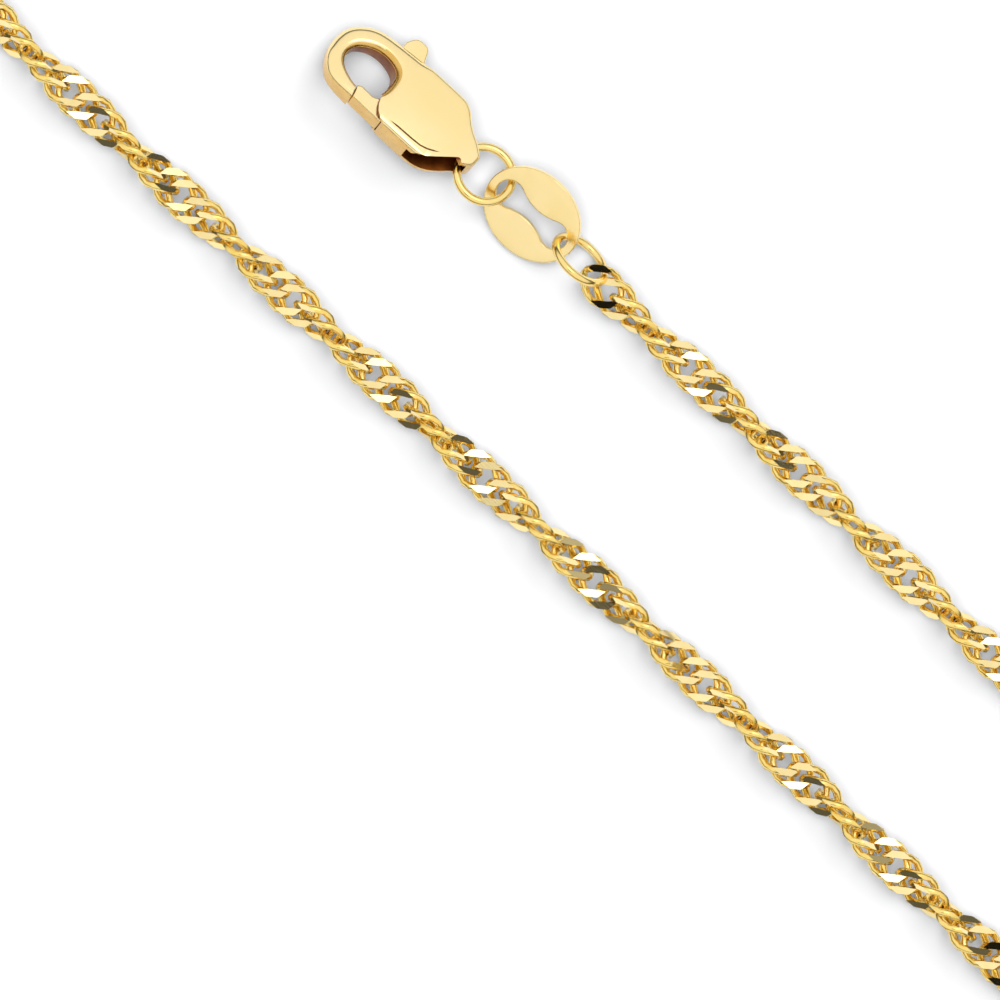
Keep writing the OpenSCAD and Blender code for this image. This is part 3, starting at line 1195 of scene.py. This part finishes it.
@dataclass
class Studio:
    """The pale table, the soft lights and the camera straight above.

    View is the width that the camera sees, in mm. The tent is a list of heights, from
    level with the table to straight above, and the light that comes from each.
    """

    view: float = 53.19
    look_at: Triple = (-64.0, -6.15, 1.1)
    distance: float = 500.0
    turn: float = 43.5
    sensor: float = 36.0
    clip: tuple[float, float] = (0.01, 50.0)
    floor_size: float = 3000.0
    floor_colour: Triple = (0.96, 0.96, 0.965)
    floor_roughness: float = 0.9
    floor_gloss: float = 0.1
    brightness: float = 1.0
    tent: tuple[tuple[float, float], ...] = ((0.0, 0.08), (0.2, 0.14), (0.42, 0.95), (1.0, 1.1))
    patches: tuple[TentPatch, ...] = (
        TentPatch(lean=22.0, inner=8.0, outer=14.0, level=2.8),
        TentPatch(lean=-18.0, inner=4.0, outer=9.0, level=0.01),
    )
    panels: tuple[Panel, ...] = (
        Panel("key_light", at=(60.0, 640.0, 760.0), size=600.0, power=4.5),
        Panel("fill_light", at=(0.0, 0.0, 1000.0), size=900.0, power=10.2),
    )

    def camera(self) -> None:
        """Sets the camera above the clasp, turned as the photograph is."""
        data = bpy.data.cameras.new("camera")
        data.sensor_width = self.sensor
        data.lens = data.sensor_width / 2 / (self.view / 2 / self.distance)
        data.clip_start, data.clip_end = self.clip
        camera = bpy.data.objects.new("camera", data)
        camera.location = (Vector(self.look_at) + Vector((0, 0, self.distance))) * MM
        camera.rotation_euler = (0, 0, math.radians(self.turn))
        bpy.context.scene.collection.objects.link(camera)
        bpy.context.scene.camera = camera

    def floor(self) -> None:
        """Lays the pale table under the necklace."""
        bm = bmesh.new()
        bmesh.ops.create_grid(bm, x_segments=1, y_segments=1, size=self.floor_size * MM)
        table = add_object(bm, "table")
        bm.free()
        mat = bpy.data.materials.new("white_table")
        mat.use_nodes = True
        shader = mat.node_tree.nodes["Principled BSDF"]
        shader.inputs["Base Color"].default_value = (*self.floor_colour, 1.0)
        shader.inputs["Roughness"].default_value = self.floor_roughness
        shader.inputs["Specular IOR Level"].default_value = self.floor_gloss
        table.data.materials.append(mat)

    def sky(self) -> None:
        """Puts the necklace in a pale tent that is bright above and dim near the table."""
        world = bpy.data.worlds.new("tent")
        world.use_nodes = True
        nodes, links = world.node_tree.nodes, world.node_tree.links
        place = nodes.new("ShaderNodeTexCoord")
        split = nodes.new("ShaderNodeSeparateXYZ")
        links.new(place.outputs["Generated"], split.inputs["Vector"])
        ramp = nodes.new("ShaderNodeValToRGB")
        stops = ramp.color_ramp.elements
        stops[0].position, stops[1].position = 0.0, 1.0
        for height, level in self.tent[1:-1]:
            stops.new(height)
        for stop, (height, level) in zip(stops, self.tent):
            stop.color = (level, level, level, 1.0)
        links.new(split.outputs["Z"], ramp.inputs["Fac"])
        light = ramp.outputs["Color"]
        for patch in self.patches:
            light = patch.add_to(nodes, links, place, light)
        links.new(light, nodes["Background"].inputs["Color"])
        nodes["Background"].inputs["Strength"].default_value = self.brightness
        bpy.context.scene.world = world
        world.cycles_visibility.diffuse = False

    def build(self) -> None:
        """Sets up the whole studio."""
        self.camera()
        self.floor()
        self.sky()
        for panel in self.panels:
            panel.hang(Vector(self.look_at))
        scene = bpy.context.scene
        scene.view_settings.view_transform = "Standard"
        scene.view_settings.look = "None"


def dress_node(name: str, finish: GoldFinish) -> None:
    """Gives a CAD node its finish.

    Args:
        name: the node's name.
        finish: the finish for all its faces.
    """
    mat = finish.material()
    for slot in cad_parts[name].material_slots:
        slot.material = mat
    log.info("%s: %s", name, finish.name)


def main() -> None:
    """Builds the studio and every piece in order."""
    logging.basicConfig(level=logging.INFO, format="%(name)s: %(message)s")
    Studio().build()
    clasp = ClaspBody()
    for part in (TwistedChain(), clasp, ClaspLever(clasp), *RINGS, OvalPlate()):
        piece = part.build()
        log.info("%s: %d faces", piece.name, len(piece.data.polygons))
    dress_node("lever_pin", CLASP_GOLD)


if __name__ == "__main__":
    main()
